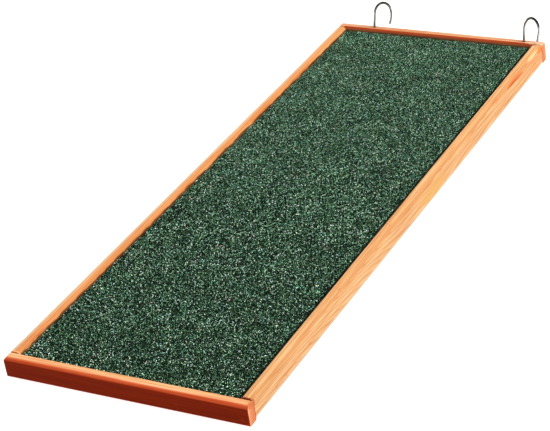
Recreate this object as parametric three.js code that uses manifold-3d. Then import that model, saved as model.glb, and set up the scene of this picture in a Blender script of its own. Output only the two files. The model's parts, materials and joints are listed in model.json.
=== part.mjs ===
// Small animal ramp: a pine board covered with gritted felt, set in a frame of four glazed
// wood rails, with two wire screw hooks standing in the back rail.
// Millimetres, +Z up, +Y towards the hooked end. The origin is the middle of the underside.

import * as THREE from 'three';
import { mergeVertices } from 'three/addons/utils/BufferGeometryUtils.js';
import Module from 'manifold-3d';

const wasm = await Module();
wasm.setup();

// Overall sizes of the frame
const bridgeLength = 500;
const bridgeWidth = 180;
const railHeight = 15;

// Rails: the end rails run the full width, and the right rail stands in a little from their ends
const frontRailThickness = 8;
const backRailThickness = 8;
const sideRailThickness = 8;
const leftRailInset = 0;
const rightRailInset = 1;
const railTopRound = 2.5;
const railBottomRound = 0.8;
const railEndEase = 0.5;

// Deck: the board lies flush with the underside, and the felt is glued to its top
const boardThickness = 10;
const boardFit = 0.3;
const boardEdgeEase = 0.5;
const feltThickness = 2.8;
const feltMargin = 0.4;
const feltCornerRound = 1.2;
const boardCornerRound = 1;
const feltEdgeEase = 0.4;

// Grit on the felt: ground that falls from the felt's top by up to the relief, from point to
// point. The points stand further apart than the grains do, and off their rows by a share of
// the pitch.
const gritRelief = 0.7;
const gritPitch = 5.3;
const gritShiftShare = 0.5;

// Brads: round wire nails, their heads punched just below the face of the rail
const bradRadius = 0.6;
const bradHeadRadius = 0.95;
const bradHeadThickness = 0.6;
const bradPointLength = 1.6;
const bradSet = 0.3;
const bradHoleClearance = 0.15;
const cornerBradLength = 22;
const cornerBradLow = 4.2;
const cornerBradRise = 6;
const boardBradLength = 18;
const sideBradCount = 4;
const sideBradEndDistance = 62;
const endBradCount = 2;
const endBradEndDistance = 52;

// Screw hooks: one wire, pointed at the foot and rounded at the tip
const hookWire = 2.2;
const hookSpan = 13.6;
const hookShankRise = 11.4;
const hookArchHeight = 9.2;
const hookTipDrop = 8.5;
const hookTipCurl = 1;
const hookThreadDepth = 9.5;
const hookPointLength = 3.2;
const hookPointRadius = 0.25;
const hookFootGap = 0.4;
const hookHoleClearance = 0.12;
const hookInset = 3;

// How far each hook stands from its end of the rail (side is -1 at the left end, 1 at the
// right), and in degrees how it leans and how far it is turned about its shank
const hooks = [
  { name: 'left_hook', side: -1, endDistance: 32, leanRight: 3, leanBack: 11, turn: 29 },
  { name: 'right_hook', side: 1, endDistance: 16.8, leanRight: 3.5, leanBack: 8, turn: -13 },
];

// How far a drill runs out past the face that it enters
const drillOverrun = 1;

// Facets
const roundSteps = 3;
const easeSteps = 2;
const bradSides = 8;
const hookSides = 12;
const hookStationGap = 1.25;
const hookDomeSteps = 4;
const hookLineDivisions = 400;
const drillSides = 16;

// Places worked out from the sizes
const halfLength = bridgeLength / 2;
const halfWidth = bridgeWidth / 2;
const leftFace = -halfWidth + leftRailInset;
const rightFace = halfWidth - rightRailInset;
const wellWidth = rightFace - leftFace - 2 * sideRailThickness;
const wellCentre = (leftFace + rightFace) / 2;
const wellFront = -halfLength + frontRailThickness;
const wellBack = halfLength - backRailThickness;
const wellLength = wellBack - wellFront;
const wellMiddle = (wellFront + wellBack) / 2;

const ends = [{ name: 'front', sign: -1 }, { name: 'back', sign: 1 }];
const sides = [
  { name: 'left', sign: -1, face: leftFace, middle: leftFace + sideRailThickness / 2 },
  { name: 'right', sign: 1, face: rightFace, middle: rightFace - sideRailThickness / 2 },
];

const pineColour = { color: 0xe07b3c, roughness: 0.45, metalness: 0 };
const boardColour = { color: 0xc9a06a, roughness: 0.75, metalness: 0 };
const feltColour = { color: 0x2f5540, roughness: 0.95, metalness: 0 };
const brightWire = { color: 0xc8ccd0, roughness: 0.2, metalness: 1 };
const bradSteel = { color: 0x8d8f92, roughness: 0.4, metalness: 1 };

function namedMesh(name, geometry, finish) {
  const mesh = new THREE.Mesh(geometry, new THREE.MeshStandardMaterial(finish));
  mesh.name = name;
  return mesh;
}

function toSolid(geometry) {
  const bare = geometry.clone();
  bare.deleteAttribute('normal');
  bare.deleteAttribute('uv');
  const merged = mergeVertices(bare);
  const mesh = new wasm.Mesh({
    numProp: 3,
    vertProperties: new Float32Array(merged.attributes.position.array),
    triVerts: new Uint32Array(merged.index.array),
  });
  return new wasm.Manifold(mesh);
}

function toGeometry(solid) {
  const mesh = solid.getMesh();
  const geometry = new THREE.BufferGeometry();
  geometry.setAttribute('position', new THREE.BufferAttribute(new Float32Array(mesh.vertProperties), 3));
  geometry.setIndex(new THREE.BufferAttribute(new Uint32Array(mesh.triVerts), 1));
  geometry.computeVertexNormals();
  return geometry;
}

// Cuts each drill out of a placed mesh. A drill is a placed mesh of its own that is never shown.
function bore(mesh, drills) {
  mesh.updateWorldMatrix(true, false);
  const toLocal = mesh.matrixWorld.clone().invert();
  let solid = toSolid(mesh.geometry);
  for (const drill of drills) {
    drill.updateWorldMatrix(true, false);
    const placed = drill.geometry.clone().applyMatrix4(toLocal.clone().multiply(drill.matrixWorld));
    solid = solid.subtract(toSolid(placed));
  }
  mesh.geometry = toGeometry(solid);
}

// Rails

// Section of a rail, standing on its bottom edge: both top arrises are well rounded
function railSection(thickness) {
  const half = thickness / 2;
  const bottom = railBottomRound;
  const top = railTopRound;
  const section = new THREE.Shape();
  section.moveTo(-half + bottom, 0);
  section.lineTo(half - bottom, 0);
  section.absarc(half - bottom, bottom, bottom, -Math.PI / 2, 0, false);
  section.lineTo(half, railHeight - top);
  section.absarc(half - top, railHeight - top, top, 0, Math.PI / 2, false);
  section.lineTo(-half + top, railHeight);
  section.absarc(-half + top, railHeight - top, top, Math.PI / 2, Math.PI, false);
  section.lineTo(-half, bottom);
  section.absarc(-half + bottom, bottom, bottom, Math.PI, Math.PI * 1.5, false);
  return section;
}

// A rail centred on its length, running along Y, with the ends sawn square and eased
function railGeometry(thickness, length) {
  const geometry = new THREE.ExtrudeGeometry(railSection(thickness), {
    depth: length - 2 * railEndEase,
    curveSegments: roundSteps,
    bevelEnabled: true,
    bevelThickness: railEndEase,
    bevelSize: railEndEase,
    bevelOffset: -railEndEase,
    bevelSegments: easeSteps,
  });
  geometry.translate(0, 0, railEndEase - length / 2);
  geometry.rotateX(Math.PI / 2);
  return geometry;
}

function endRail(name, thickness, middle) {
  const rail = namedMesh(name, railGeometry(thickness, bridgeWidth), pineColour);
  rail.rotation.z = Math.PI / 2;
  rail.position.set(0, middle, 0);
  return rail;
}

function sideRail(name, side) {
  const rail = namedMesh(name, railGeometry(sideRailThickness, wellLength), pineColour);
  rail.position.set(side.middle, wellMiddle, 0);
  return rail;
}

// Deck

// A flat sheet with rounded corners and eased edges, lying on z = 0 of its own frame
function sheetGeometry(width, length, thickness, cornerRound, ease) {
  const x = width / 2;
  const y = length / 2;
  const outline = new THREE.Shape();
  outline.moveTo(-x + cornerRound, -y);
  outline.lineTo(x - cornerRound, -y);
  outline.absarc(x - cornerRound, -y + cornerRound, cornerRound, -Math.PI / 2, 0, false);
  outline.lineTo(x, y - cornerRound);
  outline.absarc(x - cornerRound, y - cornerRound, cornerRound, 0, Math.PI / 2, false);
  outline.lineTo(-x + cornerRound, y);
  outline.absarc(-x + cornerRound, y - cornerRound, cornerRound, Math.PI / 2, Math.PI, false);
  outline.lineTo(-x, -y + cornerRound);
  outline.absarc(-x + cornerRound, -y + cornerRound, cornerRound, Math.PI, Math.PI * 1.5, false);
  const geometry = new THREE.ExtrudeGeometry(outline, {
    depth: thickness - 2 * ease,
    curveSegments: roundSteps,
    bevelEnabled: true,
    bevelThickness: ease,
    bevelSize: ease,
    bevelOffset: -ease,
    bevelSegments: easeSteps,
  });
  geometry.translate(0, 0, ease);
  return geometry;
}

function deckBoard() {
  const width = wellWidth - 2 * boardFit;
  const length = wellLength - 2 * boardFit;
  const geometry = sheetGeometry(width, length, boardThickness, boardCornerRound, boardEdgeEase);
  const board = namedMesh('deck_board', geometry, boardColour);
  board.position.set(wellCentre, wellMiddle, 0);
  return board;
}

// A block with uneven ground on top, which trims a felt of this size to its grit. It reaches a
// pitch past the felt on each side. The number of a corner seeds its draws, so that corners that
// meet stay together. Most falls are slight, as the draw is squared.
function gritBlock(width, length) {
  const columns = Math.ceil(width / gritPitch) + 2;
  const rows = Math.ceil(length / gritPitch) + 2;
  const blockWidth = columns * gritPitch;
  const blockLength = rows * gritPitch;
  const geometry = new THREE.BoxGeometry(blockWidth, blockLength, 2 * feltThickness, columns, rows, 1);
  const corners = geometry.attributes.position;
  const place = new THREE.Vector3();
  for (let i = 0; i < corners.count; i += 1) {
    place.fromBufferAttribute(corners, i);
    if (place.z > 0) {
      const column = Math.round((place.x / blockWidth + 0.5) * columns);
      const row = Math.round((place.y / blockLength + 0.5) * rows);
      const draw = THREE.MathUtils.seededRandom(row * (columns + 1) + column);
      const shift = gritPitch * gritShiftShare;
      place.x += shift * (THREE.MathUtils.seededRandom() - 0.5);
      place.y += shift * (THREE.MathUtils.seededRandom() - 0.5);
      place.z -= gritRelief * draw * draw;
      corners.setXYZ(i, place.x, place.y, place.z);
    }
  }
  return geometry;
}

function gritFelt() {
  const width = wellWidth - 2 * feltMargin;
  const length = wellLength - 2 * feltMargin;
  const sheet = toSolid(sheetGeometry(width, length, feltThickness, feltCornerRound, feltEdgeEase));
  const trimmed = sheet.intersect(toSolid(gritBlock(width, length)));
  const felt = namedMesh('grit_felt', toGeometry(trimmed), feltColour);
  felt.position.set(wellCentre, wellMiddle, boardThickness);
  return felt;
}

// Brads

// A brad points down -Y of its own frame, with the top of its head at the origin
function bradProfile(length) {
  return [
    new THREE.Vector2(0, -length),
    new THREE.Vector2(bradRadius, bradPointLength - length),
    new THREE.Vector2(bradRadius, -bradHeadThickness),
    new THREE.Vector2(bradHeadRadius, -bradHeadThickness),
    new THREE.Vector2(bradHeadRadius, 0),
    new THREE.Vector2(0, 0),
  ];
}

// The hole that a brad makes: wider all round, deeper, and open above the head
function bradHoleProfile(length) {
  const gap = bradHoleClearance;
  return [
    new THREE.Vector2(0, -length - gap),
    new THREE.Vector2(bradRadius + gap, bradPointLength - length - gap),
    new THREE.Vector2(bradRadius + gap, -bradHeadThickness - gap),
    new THREE.Vector2(bradHeadRadius + gap, -bradHeadThickness - gap),
    new THREE.Vector2(bradHeadRadius + gap, bradSet + drillOverrun),
    new THREE.Vector2(0, bradSet + drillOverrun),
  ];
}

function bradAndDrill(name, length, place) {
  const brad = namedMesh(name, new THREE.LatheGeometry(bradProfile(length), bradSides), bradSteel);
  const drill = new THREE.Mesh(new THREE.LatheGeometry(bradHoleProfile(length), bradSides));
  for (const mesh of [brad, drill]) {
    mesh.position.copy(place.position);
    mesh.rotation.copy(place.rotation);
  }
  return { brad, drill };
}

// Brads driven in from the front or back face
function endPlace(end, x, z) {
  return {
    position: new THREE.Vector3(x, end.sign * (halfLength - bradSet), z),
    rotation: new THREE.Euler(end.sign > 0 ? 0 : Math.PI, 0, 0),
  };
}

// Brads driven in from the left or right face
function sidePlace(side, y, z) {
  return {
    position: new THREE.Vector3(side.face - side.sign * bradSet, y, z),
    rotation: new THREE.Euler(0, 0, -side.sign * Math.PI / 2),
  };
}

const levels = [
  { name: 'lower', height: cornerBradLow },
  { name: 'upper', height: cornerBradLow + cornerBradRise },
];

function evenPlaces(count, from, to) {
  return Array.from({ length: count }, (unused, i) => from + (to - from) * i / (count - 1));
}

function cornerBrads() {
  return ends.flatMap((end) => sides.flatMap((side) => levels.map((level) => bradAndDrill(
    `${end.name}_${side.name}_${level.name}_brad`,
    cornerBradLength,
    endPlace(end, side.middle, level.height),
  ))));
}

// A row of brads driven through one rail into the edge of the board at mid height
function boardBradRow(edge, count, reach, placeAt) {
  return evenPlaces(count, -reach, reach).map((along, i) => bradAndDrill(
    `${edge.name}_board_brad_${i + 1}`,
    boardBradLength,
    placeAt(edge, along, boardThickness / 2),
  ));
}

function boardBrads() {
  const sideReach = halfLength - sideBradEndDistance;
  const endReach = halfWidth - endBradEndDistance;
  return [
    ...sides.flatMap((side) => boardBradRow(side, sideBradCount, sideReach, sidePlace)),
    ...ends.flatMap((end) => boardBradRow(end, endBradCount, endReach, endPlace)),
  ];
}

// Hooks

const hookWireRadius = hookWire / 2;

// Centreline of the bent wire: x across the hook, y up the shank, with y = 0 at the rail's top
function hookLine() {
  const line = new THREE.Path();
  const halfSpan = hookSpan / 2;
  line.arcLengthDivisions = hookLineDivisions;
  line.moveTo(0, -hookThreadDepth);
  line.lineTo(0, hookShankRise);
  line.absellipse(halfSpan, hookShankRise, halfSpan, hookArchHeight, Math.PI, 0, true, 0);
  line.quadraticCurveTo(
    hookSpan, hookShankRise - hookTipDrop / 2,
    hookSpan - hookTipCurl, hookShankRise - hookTipDrop,
  );
  return line;
}

// Distances along the wire and its radius at each: a long point, an even wire and a round tip
function hookStations(total) {
  const evenFrom = hookPointLength;
  const evenTo = total - hookWireRadius;
  const evenCount = Math.ceil((evenTo - evenFrom) / hookStationGap);
  const stations = [
    { at: 0, radius: hookPointRadius },
    ...evenPlaces(evenCount + 1, evenFrom, evenTo).map((at) => ({ at, radius: hookWireRadius })),
  ];
  for (let i = 1; i < hookDomeSteps; i += 1) {
    const angle = i / hookDomeSteps * Math.PI / 2;
    stations.push({
      at: evenTo + hookWireRadius * Math.sin(angle),
      radius: hookWireRadius * Math.cos(angle),
    });
  }
  return stations;
}

// The bent wire as one closed skin: a ring of points at each station and a pole at each end
function hookGeometry() {
  const line = hookLine();
  const total = line.getLength();
  const stations = hookStations(total);
  const points = [];
  const faces = [];
  const across = new THREE.Vector3(0, 1, 0);
  for (const { at, radius } of stations) {
    const middle = line.getPointAt(at / total);
    const along = line.getTangentAt(at / total);
    const outward = new THREE.Vector3(along.y, 0, -along.x);
    for (let i = 0; i < hookSides; i += 1) {
      const angle = i / hookSides * Math.PI * 2;
      points.push(new THREE.Vector3(middle.x, 0, middle.y)
        .addScaledVector(outward, radius * Math.cos(angle))
        .addScaledVector(across, radius * Math.sin(angle)));
    }
  }
  for (let ring = 0; ring < stations.length - 1; ring += 1) {
    for (let i = 0; i < hookSides; i += 1) {
      const a = ring * hookSides + i;
      const b = ring * hookSides + (i + 1) % hookSides;
      faces.push(a, b, b + hookSides, a, b + hookSides, a + hookSides);
    }
  }
  const foot = line.getPointAt(0);
  const tip = line.getPointAt(1);
  const lastRing = (stations.length - 1) * hookSides;
  const footPole = points.push(new THREE.Vector3(foot.x, 0, foot.y - hookPointRadius)) - 1;
  const tipPole = points.push(new THREE.Vector3(tip.x, 0, tip.y)) - 1;
  for (let i = 0; i < hookSides; i += 1) {
    const next = (i + 1) % hookSides;
    faces.push(footPole, next, i);
    faces.push(tipPole, lastRing + i, lastRing + next);
  }
  const geometry = new THREE.BufferGeometry().setFromPoints(points);
  geometry.setIndex(faces);
  geometry.computeVertexNormals();
  return geometry;
}

// The pilot hole: open at the rail's top, with room for the hook to turn
function pilotGeometry() {
  const depth = hookThreadDepth + hookPointRadius + hookFootGap;
  const height = depth + drillOverrun;
  const radius = (hookWireRadius + hookHoleClearance) / Math.cos(Math.PI / drillSides);
  const geometry = new THREE.CylinderGeometry(radius, radius, height, drillSides);
  geometry.rotateX(Math.PI / 2);
  geometry.translate(0, 0, height / 2 - depth);
  return geometry;
}

function placeHook(mesh, hook) {
  mesh.position.set(hook.side * (halfWidth - hook.endDistance), halfLength - hookInset, railHeight);
  mesh.rotation.set(
    -THREE.MathUtils.degToRad(hook.leanBack),
    THREE.MathUtils.degToRad(hook.leanRight),
    THREE.MathUtils.degToRad(hook.turn),
    'YXZ',
  );
  return mesh;
}

// Assembly

const frontRail = endRail('front_rail', frontRailThickness, -halfLength + frontRailThickness / 2);
const backRail = endRail('back_rail', backRailThickness, halfLength - backRailThickness / 2);
const [leftRail, rightRail] = sides.map((side) => sideRail(`${side.name}_rail`, side));
const board = deckBoard();
const felt = gritFelt();
const brads = [...cornerBrads(), ...boardBrads()];
const bradDrills = brads.map((entry) => entry.drill);
const hookMeshes = hooks.map((hook) => placeHook(namedMesh(hook.name, hookGeometry(), brightWire), hook));
const pilotDrills = hooks.map((hook) => placeHook(new THREE.Mesh(pilotGeometry()), hook));

for (const wood of [frontRail, leftRail, rightRail, board]) {
  bore(wood, bradDrills);
}
bore(backRail, [...bradDrills, ...pilotDrills]);

const frame = new THREE.Group();
frame.add(frontRail, backRail, leftRail, rightRail, board, felt);
const fasteners = new THREE.Group();
fasteners.add(...brads.map((entry) => entry.brad));
const hangers = new THREE.Group();
hangers.add(...hookMeshes);

const ramp = new THREE.Group();
ramp.add(frame, fasteners, hangers);

export default ramp;
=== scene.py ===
"""The looks of a small animal ramp: glazed pine rails, a deck of gritted felt and two wire hooks.
Metres, +Z up, +Y towards the hooked end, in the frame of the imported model.
"""

import json
import math

import bmesh
import bpy
import numpy as np
from mathutils import Matrix, Vector, noise

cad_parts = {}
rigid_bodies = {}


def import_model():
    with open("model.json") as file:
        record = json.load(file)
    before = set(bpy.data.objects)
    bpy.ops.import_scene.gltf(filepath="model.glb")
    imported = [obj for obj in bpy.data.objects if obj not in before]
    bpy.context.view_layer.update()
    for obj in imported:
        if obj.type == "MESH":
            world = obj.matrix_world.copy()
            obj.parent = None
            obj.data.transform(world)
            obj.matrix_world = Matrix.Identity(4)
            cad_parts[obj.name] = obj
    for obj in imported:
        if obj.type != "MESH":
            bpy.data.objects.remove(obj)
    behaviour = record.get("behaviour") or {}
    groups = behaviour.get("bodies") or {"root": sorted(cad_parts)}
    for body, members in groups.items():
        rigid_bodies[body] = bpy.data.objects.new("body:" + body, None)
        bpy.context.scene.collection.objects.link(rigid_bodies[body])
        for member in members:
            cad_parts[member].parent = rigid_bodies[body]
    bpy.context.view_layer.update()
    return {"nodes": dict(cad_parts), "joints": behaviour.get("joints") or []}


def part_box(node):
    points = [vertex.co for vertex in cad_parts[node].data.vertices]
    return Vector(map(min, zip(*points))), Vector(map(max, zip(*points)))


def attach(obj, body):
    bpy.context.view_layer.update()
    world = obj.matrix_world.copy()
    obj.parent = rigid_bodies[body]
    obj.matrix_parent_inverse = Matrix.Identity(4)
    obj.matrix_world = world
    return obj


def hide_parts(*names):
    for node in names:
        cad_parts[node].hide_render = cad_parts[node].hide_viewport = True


MM = 0.001
UP = Vector((0, 0, 1))

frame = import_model()

# The camera of the photograph: where it stands, where its axes point, and its lens
CAMERA_PLACE = Vector((0.61627, -1.0199, 0.68359))
CAMERA_RIGHT = Vector((0.87753, 0.45969, -0.13650))
CAMERA_UP = Vector((-0.13088, 0.50345, 0.85405))
SENSOR_WIDTH = 36
FOCAL_LENGTH = 125.087
FAR_CLIP = 60

# How near counts as the same place, face or direction
TINY = 1e-7
FACE_REACH = 0.01 * MM
EDGE_REACH = 0.1 * MM
MIDDLE_SLACK = 1 * MM
PARALLEL = 0.99
BEYOND = 1.0

# Rails
TOP_ROUND = 2.5 * MM
BOTTOM_ROUND = 0.8 * MM
OUTER_END_EASE = 1.1 * MM
JOINT_EASE = 0.2 * MM
END_ROUND = 2.4 * MM
BACK_ARRIS_ROUND = 1.1 * MM
END_CUT_SHARES = (0.72, 1)
TOP_STEPS = 7
BOTTOM_STEPS = 3
END_STEPS = 3
END_CUT_REACH = 1.02
RAIL_STEP = 5 * MM
RIGHT_RAIL_FLARE = 0.75 * MM
# How far from the middle the back rail's painted shade on what faces -Y reaches
BACK_SHADE_REACH = 84 * MM
END_FACE_TURN = 0.5

# Wear of the arrises: its size and mean, and each wave's share, pace and two noise offsets
ARRIS_WANDER = 0.22 * MM
ARRIS_PERIOD = 26 * MM
ARRIS_MEAN = 0.4
ARRIS_WAVES = ((0.6, 1, 7.3, 91), (0.35, 4.1, 3.9, 57))

# Filled brad heads: shallow dimples in the outer faces
DIMPLE_RADIUS = 1.15 * MM
DIMPLE_DEPTH = 0.16 * MM
DIMPLE_CUT_SHARES = (-1.15, -0.8, -0.4, 0, 0.4, 0.8, 1.15)
HEIGHT_DIGITS = 6

# Felt sheet and its grit
SHEET_DROP = 0.7 * MM
SHEET_MARGIN = 0.1 * MM
SHEET_STEP = 4 * MM
SHEET_WAVE = 0.12 * MM
SHEET_WAVE_LENGTH = 23 * MM
GRIT_STRIPS = 8
GRIT_SHAPES = 10
GRIT_CORNERS = 8
GRIT_SPACING = 0.76 * MM
GRIT_DENSITY = 4.2e6
GRIT_LENGTH = 1.12 * MM
GRIT_FLATNESS = 0.7
GRIT_MIN_SCALE = 0.62
GRIT_MAX_SCALE = 1.12
GRIT_TILT = math.radians(28)
GRIT_LIFT = 0.1 * MM
GRIT_CORNER_SHARES = (0.8, 1)
GRIT_WIDTH_SHARES = (0.6, 0.95)
GRIT_SEED = 11
TURN_SEED = 3
SIZE_SEED = 4
SHAPE_SEED = 5
SHADE_SEEDS = {"tone": 4, "tint": 7}
TILE_EDGE = 0.12

# Hooks: bright wire, threaded at the foot
WIRE = 2.2 * MM
HOOK_SPAN = 13.6 * MM
SHANK_RISE = 11.4 * MM
ARCH_HEIGHT = 9.2 * MM
TIP_DROP = 8.5 * MM
TIP_CURL = 1 * MM
THREAD_DEPTH = 9.5 * MM
THREAD_RISE = 1.7 * MM
THREAD_PITCH = 1.05 * MM
THREAD_HEIGHT = 0.3 * MM
THREAD_STEP = 0.12 * MM
RIDGE_SLOPE = 3.2
RIDGE_SHARE = 1.15
POINT_LENGTH = 3.2 * MM
POINT_SHARE = 0.12
WIRE_SIDES = 28
WIRE_STEP = 0.5 * MM
DOME_STEPS = 6
PILOT_RADIUS = 1.28 * MM
PILOT_DEPTH = 10.4 * MM
PILOT_SIDES = 24

# Floor and lights
FLOOR_SIZE = 14
FLOOR_CELLS = 4
FLOOR_DROP = 0.05 * MM
LIGHTS = {"key": ((1.2, 0.4, 1.75), 1.6, 60), "top_fill": ((-0.7, 0.3, 2.1), 1.8, 30)}

# The studio round the part. Each fade is a stretch of a direction and what its two ends shine with
HEIGHT_FADE = (0.25, 0.7, 1, 0.12)
FRONT_FADE = (-0.5, 0.3, 0.16, 1)
MIRRORED_FADE = (0, 0.12, 1, 0.01)
RIGHT_LEAN = 0.35


# Helpers for meshes

def finished(name, bm, material):
    """Turns a bmesh into an object at the origin with one material."""
    mesh = bpy.data.meshes.new(name)
    bm.to_mesh(mesh)
    bm.free()
    mesh.materials.append(material)
    piece = bpy.data.objects.new(name, mesh)
    bpy.context.scene.collection.objects.link(piece)
    return piece


def paint(piece, material):
    """Gives a piece one material in place of what it had."""
    piece.data.materials.clear()
    piece.data.materials.append(material)


def baked_down(piece):
    """Replaces a piece's mesh by what its modifiers make of it."""
    graph = bpy.context.evaluated_depsgraph_get()
    mesh = bpy.data.meshes.new_from_object(piece.evaluated_get(graph), depsgraph=graph)
    piece.modifiers.clear()
    old = piece.data
    piece.data = mesh
    bpy.data.meshes.remove(old)
    mesh.name = piece.name
    return piece


def smooth_with_flat_faces(piece):
    piece.data.shade_smooth()
    weighted = piece.modifiers.new("weighted_normals", "WEIGHTED_NORMAL")
    weighted.weight = 100
    return baked_down(piece)


def face_up(bm):
    bmesh.ops.recalc_face_normals(bm, faces=bm.faces)


def block(low, high):
    """A plain block between two corners."""
    bm = bmesh.new()
    bmesh.ops.create_cube(bm, size=1)
    bmesh.ops.scale(bm, vec=high - low, verts=bm.verts)
    bmesh.ops.translate(bm, vec=(low + high) / 2, verts=bm.verts)
    return bm


def cuts_along(bm, axis, places):
    """Cuts the whole mesh square to an axis at each place."""
    normal = Vector((0, 0, 0))
    normal[axis] = 1
    for place in places:
        bmesh.ops.bisect_plane(
            bm, geom=[*bm.verts, *bm.edges, *bm.faces], dist=TINY, plane_co=normal * place,
            plane_no=normal)


def even_cuts(low, high, step):
    count = max(2, round((high - low) / step))
    return [low + (high - low) * i / count for i in range(1, count)]


def bevel_edges(bm, edges, offset, segments):
    bmesh.ops.bevel(
        bm, geom=list(edges), offset=offset, offset_type="OFFSET", segments=segments,
        profile=0.5, affect="EDGES", clamp_overlap=True, material=-1)


def runs_along(edge, axis):
    way = (edge.verts[1].co - edge.verts[0].co).normalized()
    return abs(way[axis]) > PARALLEL


def runs_across(edge, axis):
    return not runs_along(edge, axis) and abs(edge.verts[0].co[axis] - edge.verts[1].co[axis]) < TINY


# Helpers for node trees

def put(tree, socket, value):
    """Links a value to a socket, or sets it there. A colour may leave out its alpha."""
    if isinstance(value, bpy.types.NodeSocket):
        tree.links.new(value, socket)
    elif socket.type == "RGBA":
        socket.default_value = (*value, 1)[:4]
    else:
        socket.default_value = value


def add(tree, kind, inputs=(), **settings):
    """Adds a node, sets its properties, and links or fills its inputs, by name or number."""
    node = tree.nodes.new(kind)
    for key, value in settings.items():
        setattr(node, key, value)
    for key, value in dict(inputs).items():
        put(tree, node.inputs[key], value)
    return node


def maths(tree, operation, *values):
    return add(tree, "ShaderNodeMath", enumerate(values), operation=operation).outputs[0]


def times(tree, a, b):
    return maths(tree, "MULTIPLY", a, b)


def vector_maths(tree, operation, *values):
    return add(tree, "ShaderNodeVectorMath", enumerate(values), operation=operation).outputs[0]


def axes(tree, vector):
    return add(tree, "ShaderNodeSeparateXYZ", {0: vector}).outputs


def joined(tree, x, y, z):
    return add(tree, "ShaderNodeCombineXYZ", {0: x, 1: y, 2: z}).outputs[0]


def evenly(tree, value):
    """One number on all three axes, or as a grey."""
    return joined(tree, value, value, value)


def ramp(tree, factor, stops):
    """A colour ramp from a list of (place, colour)."""
    node = add(tree, "ShaderNodeValToRGB", {"Fac": factor})
    marks = node.color_ramp.elements
    while len(marks) < len(stops):
        marks.new(0.5)
    for mark, (place, colour) in zip(marks, stops):
        mark.position = place
        mark.color = (*colour, 1)
    return node.outputs["Color"]


def mixed(tree, factor, a, b, blend="MIX"):
    return add(tree, "ShaderNodeMix", {0: factor, 6: a, 7: b}, data_type="RGBA", blend_type=blend,
               clamp_factor=True).outputs[2]


def filtered(tree, colour, share):
    """A colour times another colour."""
    return mixed(tree, 1, colour, share, "MULTIPLY")


def span(tree, value, low, high, to_low=0, to_high=1, smooth=False):
    """Maps low..high of a value to to_low..to_high, held at the ends."""
    return add(tree, "ShaderNodeMapRange", {0: value, 1: low, 2: high, 3: to_low, 4: to_high},
               interpolation_type="SMOOTHSTEP" if smooth else "LINEAR").outputs[0]


def streaky_noise(tree, vector, scale, detail=3, roughness=0.55):
    """Noise on a vector that is scaled by three numbers first."""
    scaled = vector_maths(tree, "MULTIPLY", vector, scale)
    return add(tree, "ShaderNodeTexNoise", {
        "Vector": scaled, "Scale": 1, "Detail": detail, "Roughness": roughness}).outputs["Fac"]


def even_noise(tree, vector, scale, detail=3, roughness=0.55):
    """Noise on a vector that is scaled alike on its three axes."""
    return streaky_noise(tree, vector, (scale, scale, scale), detail, roughness)


def new_group(name, inputs, outputs, kind="ShaderNodeTree"):
    """A node group with named sockets, and the sockets of its two end nodes."""
    tree = bpy.data.node_groups.new(name, kind)
    for side, sockets in (("INPUT", inputs), ("OUTPUT", outputs)):
        for socket, form in sockets.items():
            tree.interface.new_socket(socket, in_out=side, socket_type=f"NodeSocket{form}")
    return tree, add(tree, "NodeGroupInput").outputs, add(tree, "NodeGroupOutput").inputs


def placed_group(tree, group, inputs):
    return add(tree, "ShaderNodeGroup", inputs, node_tree=group).outputs


def new_material(name):
    """A material, its tree and its Principled shader."""
    material = bpy.data.materials.new(name)
    material.use_nodes = True
    tree = material.node_tree
    shader = next(n for n in tree.nodes if n.type == "BSDF_PRINCIPLED")
    return material, tree, shader


def feed(tree, shader, **sockets):
    """Links or sets a shader's sockets, whose names have underscores here for spaces."""
    for key, value in sockets.items():
        put(tree, shader.inputs[key.replace("_", " ")], value)


def object_place(tree):
    return add(tree, "ShaderNodeTexCoord").outputs["Object"]


def attribute(tree, name):
    return add(tree, "ShaderNodeAttribute", attribute_name=name).outputs["Fac"]


def bumped(tree, height, strength, distance):
    return add(tree, "ShaderNodeBump", {
        "Height": height, "Strength": strength, "Distance": distance}).outputs[0]


# Effects shared by the woods: how far the rings wander, how fast, and where the second bend starts
RING_WANDER = 9 * MM
RING_BEND_PACE = (14, 5, 14)
RING_BEND_SHIFT = (3.1, 1.7, 4.3)


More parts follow.
